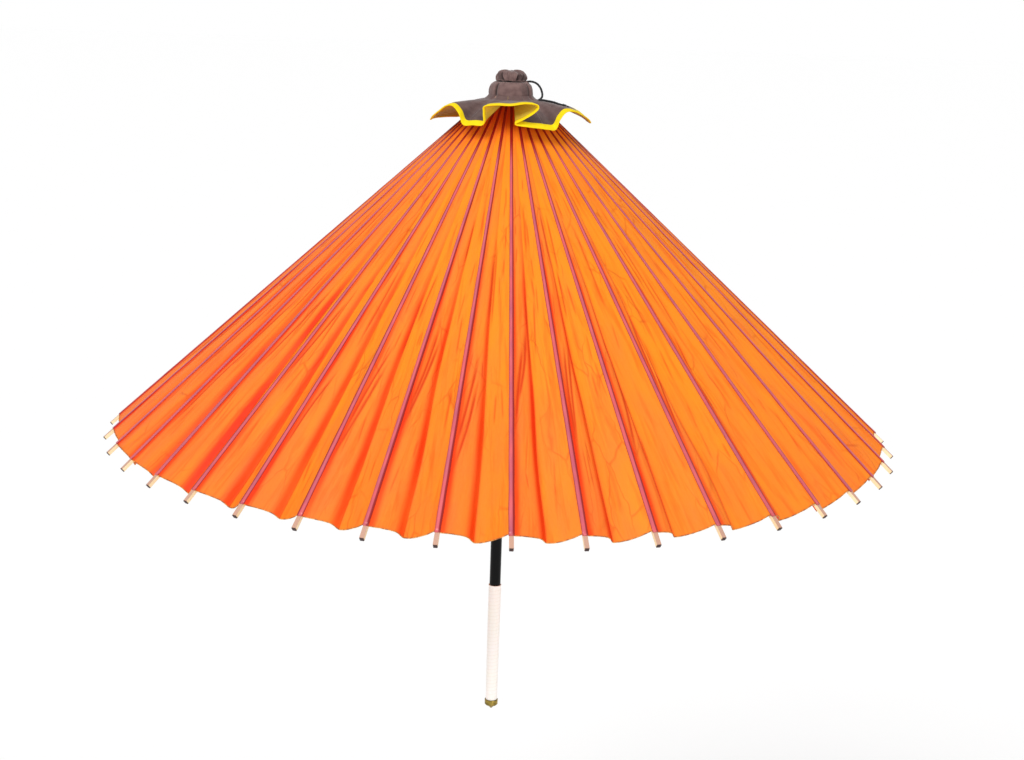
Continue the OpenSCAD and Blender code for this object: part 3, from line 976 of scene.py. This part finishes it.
# The skirt's edge, as (degrees from the front towards the right, radius and height above the hub in
# millimetres, and the degrees at which that point hangs from the hood). It drops in tongues and rises
# in arches between them, and the front arch is a box pleat.
SKIRT_EDGE = [
    (4, 86, -28, 6.8), (12, 87, -30, 15), (22, 87.5, -31.5, 26), (30, 87.5, -33, 37),
    (36, 86.5, -33, 43.5), (39, 88, -22, 50), (44, 89.5, -14, 56.8), (52, 91, -13.5, 63.5),
    (62, 92, -18, 72.3), (75, 92.5, -24, 84.2),
    (88, 93, -29, 96.2), (98, 92, -29, 104.8), (110, 91, -23, 115.8), (122, 90, -18, 126.8),
    (134, 89, -20, 137.4), (142, 88, -28, 145.4), (152, 88, -31, 153.9), (164, 88, -32, 163.8),
    (171, 88, -24, 171.1), (180, 90, -12, 181.4), (192, 91, -10, 191.7), (204, 90, -14, 201.9),
    (212, 88, -27, 211.8), (222, 88, -31, 220.7), (236, 89, -31, 232.3), (252, 91, -31, 246.5),
    (264, 92, -31.5, 257.2), (273, 91.5, -31, 265.2), (286, 92, -26, 276.7), (298, 92, -19, 288.1),
    (307, 91, -12, 296.3), (314, 90, -11, 302.5), (319.5, 88, -19, 309), (323, 86.5, -31, 318),
    (331, 87, -30.5, 336), (339.5, 87, -29.5, 351.5), (340, 88.5, -17, 353), (341, 90, -9.5, 354.5),
    (350, 91, -7, 357), (0, 91, -7, 359), (10, 92, -4.5, 1), (18, 92, -5.5, 2.8), (20, 91, -10, 3.8),
    (16.5, 90, -16, 4.8), (9.5, 88, -23, 5.8),
]
SKIRT_COLUMNS = 760
SKIRT_RUN = 72 * MM
SECTORS = 20
CLOTH_T = 0.9 * MM
BINDING_W = 7.0 * MM
# The binding's bend round the skirt's edge, as (reach past the edge, lift), in millimetres.
BINDING_BEND = [(0.55, 0.05), (0.75, -0.45), (0.5, -0.95)]


def from_front(degrees):
    """The direction at some degrees from the front towards the right, as (x, y)."""
    angle = math.radians(degrees - 90)
    return math.cos(angle), math.sin(angle)


def skirt_edge():
    """The skirt's edge as evenly spaced points, and the angles they hang from and lie at."""
    foot_r = FLARE[-1][0]
    edge = []
    for degrees, radius, height, foot in SKIRT_EDGE:
        x, y = from_front(degrees)
        foot_x, foot_y = from_front(foot)
        edge.append((radius * x, radius * y, height, foot_r * foot_x, foot_r * foot_y))
    spaced = rounded_path(edge, SKIRT_COLUMNS, closed=True)
    foot_angle = np.unwrap(np.arctan2(spaced[:, 4], spaced[:, 3]))
    edge_angle = np.unwrap(np.arctan2(spaced[:, 1], spaced[:, 0]))
    return above_hub(spaced[:, :3]), foot_angle, edge_angle


def pleats_at(turn):
    """How far the hood's wall stands out, in millimetres, at an angle round the shaft."""
    degrees = (np.degrees(turn) + 90 + 180) % 360 - 180
    return np.interp(degrees, *BODY_PLEATS)


def skirt_surface(share):
    """The skirt's outer face, edge columns by rows, at shares of the way from the hood's wall to its edge."""
    edge, foot_angle, edge_angle = skirt_edge()
    t = np.asarray(share)[None, :]
    flare_r, flare_z = np.transpose(FLARE) * MM
    flare_share = np.linspace(0, FLARE_SHARE, len(FLARE))
    outer = np.clip((t - FLARE_SHARE) / (1 - FLARE_SHARE), 0, 2)
    edge_r = np.hypot(edge[:, 0], edge[:, 1])[:, None]
    drop = edge[:, 2:] - PIVOT_Z - flare_z[-1]
    turn = foot_angle[:, None] + (edge_angle - foot_angle)[:, None] * np.clip(outer, 0, 1) ** 0.7
    curl = 2.2 * MM
    wall = pleats_at(turn) * MM * (1 - smoothstep(0.0, 0.35, t))
    radius = np.interp(t, flare_share, flare_r) + (edge_r - flare_r[-1]) * outer + wall
    height = np.interp(t, flare_share, flare_z) + (drop + curl) * outer**1.35
    height = height - curl * smoothstep(0.8, 1.04, outer)
    tuck = 0.5 * MM * np.sin(foot_angle[:, None] * 23 + 1.0) * outer * (1 - np.clip(outer, 0, 1)) * 2
    inside = np.clip(-t, 0, 1)
    radius = radius - 2.6 * MM * np.sin(inside * math.pi / 2)
    height = height + tuck + 5.0 * MM * inside
    return around(radius, turn, PIVOT_Z + height)


def normals_of(grid):
    """Upward unit normals of a grid that closes on itself over its first index."""
    wrapped = np.concatenate([grid[-1:], grid, grid[:1]])
    round_it = np.gradient(wrapped, axis=0)[1:-1]
    outward = np.gradient(grid, axis=1)
    normal = np.cross(outward, round_it)
    return normal / np.maximum(np.linalg.norm(normal, axis=2), 1e-12)[..., None]


def binding_section(rows):
    """The binding's section at each edge column: over the face, round the edge and back underneath."""
    band = skirt_surface(np.linspace(1 - BINDING_W / SKIRT_RUN, 1, rows))
    up = normals_of(band)
    proud = 0.3 * MM
    over = band + up * proud
    over[:, 0] = band[:, 0] - up[:, 0] * 0.1 * MM
    ahead = band[:, -1] - band[:, -2]
    ahead /= np.linalg.norm(ahead, axis=1)[:, None]
    last, rise = band[:, -1], up[:, -1]
    bend = np.stack([last + ahead * reach * MM + rise * lift * MM for reach, lift in BINDING_BEND], axis=1)
    under = (band - up * (CLOTH_T + proud))[:, ::-1][:, : rows // 2]
    tucked = under[:, -1:] + up[:, rows - rows // 2 - 1, None] * (proud + 0.1 * MM)
    return np.concatenate([over, bend, under, tucked], axis=1)


def thin_out(piece, solid, share, cols):
    """Makes a sector's cloth thinner towards the hood, so that its folds have room there."""
    group = piece.vertex_groups.new(name="Thickness")
    for row, weight in enumerate(0.03 + 0.97 * smoothstep(0.25, 0.55, share)):
        group.add(list(range(row * cols, (row + 1) * cols)), float(weight), "REPLACE")
    solid.vertex_group = group.name


def make_skirt(cloth, lining, yellow):
    """The hood's skirt in sectors that each follow a rib: dark cloth, its lining and a yellow binding."""
    hidden_rows = [-1, -0.66, -0.33]
    share = np.concatenate([hidden_rows, np.linspace(0, FLARE_SHARE, 5), np.linspace(FLARE_SHARE, 1, 27)[1:]])
    face = skirt_surface(share)
    tape = binding_section(8)
    per = SKIRT_COLUMNS // SECTORS
    for k in range(SECTORS):
        index = (np.arange(per + 1) + k * per) % SKIRT_COLUMNS
        middle = face[index].mean(axis=(0, 1))[:2]
        middle /= np.hypot(*middle)
        nearest = int(np.argmax([rib_axes(i)[0][:2] @ middle for i in range(RIB_COUNT)]))
        part = np.transpose(face[index], (1, 0, 2))
        tape_part = np.transpose(tape[index], (1, 0, 2))
        number = f"{k + 1:02d}"
        # Painted shade: the skirt is darker than the hood's body, and darker still lower down.
        low = smoothstep(10 * MM, 26 * MM, PIVOT_Z - part[..., 2])
        marks = {"cloth_shade": 0.34 + 0.26 * low}
        flat = flat_map(part) + k * GORE_SPACE
        tape_flat = flat_map(tape_part) + k * GORE_SPACE
        sector = grid_piece("hood_skirt_" + number, part, cloth, lining, uv=flat, marks=marks)
        trim = grid_piece("hood_binding_" + number, tape_part, yellow, uv=tape_flat)
        thin_out(sector, thicken(sector, CLOTH_T, second=1), share, per + 1)
        settle(sector, rib_names[nearest], "hood")
        settle(trim, rib_names[nearest])
        for piece in (sector, trim):
            fold_with(piece)


# The hood's outline above the skirt, as (radius, height above the hub), from the top's centre to the foot.
HOOD_OUTLINE = [
    (0.15, 26.4), (1.6, 26.5), (4.4, 26.8), (7.4, 27.0), (10.4, 26.7), (13.4, 25.7), (15.8, 24.0),
    (17.5, 21.8), (18.2, 19.6), (18.2, 17.6), (17.7, 15.9), (16.9, 14.9), (16.0, 14.7), (15.5, 15.8),
    (14.6, 17.2), (13.2, 17.3), (12.6, 16.2), (12.5, 14.4), (12.6, 12.4), (13.4, 11.2), (15.0, 11.6),
    (15.9, 13.2), (17.0, 14.3), (18.8, 13.9), (21.0, 12.6), (22.9, 10.8), (24.0, 8.7), (24.7, 6.2),
    (25.1, 3.2), (25.3, 0.9), (25.1, -0.9),
]
# The pleats pressed into the hood's wall: how far it stands out, in millimetres, at degrees from the
# front towards the right.
BODY_PLEATS = smooth_table([
    (-180, 0.2), (-168, 0.3), (-150, -1.3), (-146, 0.3), (-125, 0.4), (-112, -1.4), (-108, 0.3), (-90, 0.3),
    (-77, -0.9), (-73, 0.2), (-58, 0.3), (-50, 0.6), (-46, -2.4), (-42, -1.6), (-36, 0.3), (-10, 0.4),
    (27, 0.3), (32, -0.5), (52, -0.7), (58, -2.2), (62, 0.5), (80, 0.3), (92, -0.9), (96, 0.3),
    (118, 0.4), (131, -1.4), (135, 0.2), (158, 0.2), (167, -1.1), (171, 0.2), (180, 0.2),
], width=0.003, samples=720)
# The tucks of the gathered top: (degrees from the front towards the right, depth in millimetres,
# and 1 or -1 for the side that is steep).
TOP_TUCKS = [
    (-37, 4.4, -1), (-62, 1.2, 1), (-86, 2.0, 1), (-118, 2.4, -1), (-149, 1.8, 1), (-178, 2.4, -1),
    (-14, 0.7, 1), (5, 0.5, -1), (25, 4.6, 1), (52, 1.8, 1), (83, 2.0, -1), (115, 1.9, 1), (148, 2.2, -1),
]
CORD_EXIT = 80


def round_away(turn, degrees):
    """The way round from a direction given from the front towards the right, in degrees."""
    return (np.degrees(turn) + 90 - degrees + 180) % 360 - 180


def tuck_depth(turn, folds, sharp, fan):
    """How far tucks pull a round of cloth in: steep on one side of each tuck, and easy on the other. fan
    is how many degrees the tucks have spread from the front and back at each height."""
    total = np.zeros(turn.shape)
    for degrees, depth, lean in folds:
        spread = fan * math.sin(math.radians(degrees))
        away = round_away(turn, degrees + spread) * lean
        steep = bell(away, 0, sharp * 0.4)
        easy = np.exp(-np.maximum(away, 0) / (sharp * 1.9))
        total = total + depth * np.where(away < 0, steep, easy)
    return total


def hood_surface():
    """The hood's cloth above the skirt: its points, its flat map, and its painted shade in the hollows."""
    turn = np.linspace(0, 2 * math.pi, 400, endpoint=False)[None, :]
    outline = rounded_path([(r, 0, z) for r, z in HOOD_OUTLINE], 150)
    radius = outline[:, :1]
    height = outline[:, 2:]
    round_hub = turn + 0 * radius
    rng = np.random.default_rng(21)
    wall = smoothstep(16, 24, radius) * (1 - smoothstep(11.5, 14, height))
    top = smoothstep(14.9, 17.5, height) * smoothstep(3, 14, radius)
    neck = bell(height, 14, 3.2) * (1 - smoothstep(19, 24, radius))
    crown = smoothstep(21, 25, height) * smoothstep(2, 7, radius)
    pleats = pleats_at(round_hub) * wall
    tucks = tuck_depth(round_hub, TOP_TUCKS, 6.0, 3.2 * (height - 20.5))
    tucks = tucks * top * (1 - smoothstep(21, 26.5, height))
    gathers = 0.35 * np.sin(turn * 34 + 2 * np.sin(turn * 3)) * neck
    uneven = ripple(rng, turn * 0.025, height * MM, 0.03, 0.02) * 0.35 * (wall + top)
    wide = np.maximum(radius + pleats - tucks + gathers + uneven, 0.1)
    pucker = 0.4 * np.sin(turn * 17 + 4 * np.sin(turn * 2)) * crown
    gap = bell(round_away(turn, -48), 0, 7) + bell(round_away(turn, -8), 0, 12)
    gap = gap + 0.6 * smoothstep(0.5, 1, np.sin(turn * 5 + 1))
    lip = 0.9 * np.clip(gap, 0, 1) * bell(height, 14.9, 1.1) * smoothstep(14.45, 14.6, height)
    sway = 0.5 * np.sin(turn * 2 + 0.6) * crown
    sunk = 1.0 * bell(round_away(turn, 50), 0, 26) * crown
    lifted = 2.2 * bell(round_away(turn, CORD_EXIT), 0, 13)
    lifted = lifted * bell(height, 15.2, 1.6) * smoothstep(14.8, 15.8, radius)
    tall = height + pucker + sway - sunk + lifted + lip
    points = above_hub(around(wide, turn, tall))
    run = np.linspace(0, 1, len(outline))[:, None]
    flat = np.stack([turn * 0.0256 + 0 * wide, run * 0.085 + 0 * wide], axis=2)
    # Painted shade: darker in the tucks and pressed pleats, under the bulb at the neck, on the sunken side
    # and between the gathers near the top.
    cloth_shade = np.clip(tucks / 2.6 - pleats / 2.0, 0, 1)
    cloth_shade = cloth_shade + 0.8 * bell(height, 14, 1.6) * (radius < 17.5)
    cloth_shade = cloth_shade + 0.5 * bell(round_away(turn, 50), 0, 17) * smoothstep(15, 17, height)
    gathered = smoothstep(0.2, 1, np.sin(turn * 46 + 2 * np.sin(turn * 5)))
    cloth_shade = cloth_shade + 0.3 * gathered * smoothstep(19, 23, height)
    return points, flat, np.clip(cloth_shade, 0, 1)


def make_hood_body(cloth):
    """Cloth gathered over the hub's knob: a body with pressed pleats, a tight neck and a puckered top."""
    points, flat, cloth_shade = hood_surface()
    hood = grid_piece("hood_body", points, cloth, tube=True, uv=flat, marks={"cloth_shade": cloth_shade})
    thicken(hood, CLOTH_T)
    settle(hood, "root", "hood")


# ---- ribs and hard parts


def soften(piece, width):
    """Joins a CAD part's split edges and rounds its corners slightly."""
    weld = piece.modifiers.new("Weld", "WELD")
    weld.merge_threshold = 0.005 * MM
    bevel = piece.modifiers.new("Rounded", "BEVEL")
    bevel.width = width
    bevel.segments = 2
    bevel.limit_method = "ANGLE"
    bevel.angle_limit = math.radians(35)
    bevel.harden_normals = True


def dress(name, finish, width=0):
    """Gives a CAD node its material, and rounds its edges by width if that isn't 0."""
    piece = nodes[name]
    piece.data.materials.clear()
    piece.data.materials.append(finish)
    if width:
        soften(piece, width)


def make_short_ribs(finish):
    """The short ribs between those that the frame moves. Each follows the nearest one."""
    step = RIB_COUNT // len(short_names)
    for name in short_names:
        centre = int(name[-2:]) - 1
        for offset in range(-(step // 2), step // 2 + 1):
            if offset == 0:
                continue
            number = (centre + offset) % RIB_COUNT + 1
            mesh = nodes[name].data.copy()
            mesh.transform(Matrix.Rotation(offset * BAY_ANGLE, 4, "Z"))
            mesh.materials.clear()
            rib = new_object(f"short_rib_{number:02d}", mesh, finish)
            soften(rib, 0.3 * MM)
            settle(rib, name)
            fold_with(rib)


def make_grip(finish):
    """A cane strip wound round the handle, in close turns, with a thin lip at its upper end."""
    low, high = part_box("grip_wrap")
    radius = float(high.x)
    turn = np.linspace(0, 2 * math.pi, 64, endpoint=False)[None, :]
    height = np.linspace(float(low.z), float(high.z), 520)[:, None]
    share = (height - float(low.z)) / float(high.z - low.z)
    pitch = 4.6 * MM
    phase = (height / pitch - turn / (2 * math.pi)) % 1.0
    joint = bell(np.minimum(phase, 1 - phase), 0, 0.05)
    taper = (0.945 + 0.055 * smoothstep(0.0, 0.75, share)) * radius
    lip = 0.22 * MM * smoothstep(0.985, 0.992, share)
    rounding = 0.5 * MM * (1 - np.clip(share / 0.008, 0, 1)) ** 2
    size = taper - 0.10 * MM * joint + lip - rounding
    inner = float(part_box("shaft")[1].x) + 0.03 * MM
    bottom = around(inner, turn, float(low.z))
    top = around(inner, turn, float(high.z))
    points = np.concatenate([bottom, around(size, turn, height), top], axis=0)
    joint = np.concatenate([joint[:1], joint, joint[-1:]])
    flat = np.stack([turn * radius + 0 * points[..., 0], points[..., 2]], axis=2)
    grip = grid_piece("grip_winding", points, finish, tube=True, ring=True, uv=flat, marks={"joint": joint})
    settle(grip, "root", "grip_wrap")


# ---- the whole umbrella

make_camera()
black_cord = cord_finish()
make_cord(black_cord)
make_tie(black_cord)
make_surroundings()

rib_bamboo = long_rib_finish()
short_bamboo = short_rib_finish()
for rib_name in rib_names:
    dress(rib_name, rib_bamboo, 0.45 * MM)
for short_name in short_names:
    dress(short_name, short_bamboo, 0.3 * MM)
make_short_ribs(short_bamboo)

wood = hub_finish()
thread = thread_finish()
dress("shaft", lacquer_finish())
dress("ferrule", brass_finish(), 0.25 * MM)
dress("head_hub", wood)
dress("runner", wood)
dress("hub_thread", thread)
dress("runner_thread", thread)
dress("catch", short_bamboo, 0.2 * MM)
make_grip(grip_finish())

make_paper(paper_finish(), hem_finish())
make_ridges(ridge_finish())

hood_cloth = cloth_finish("hood_cloth", rgb(140, 112, 106), rgb(104, 78, 76), 260, sheen=0.3)
hood_lining = cloth_finish("hood_lining", rgb(255, 228, 88), rgb(255, 214, 66), 320)
hood_binding = cloth_finish("hood_binding", rgb(255, 232, 8), rgb(250, 216, 0), 420)
make_hood_body(hood_cloth)
make_skirt(hood_cloth, hood_lining, hood_binding)
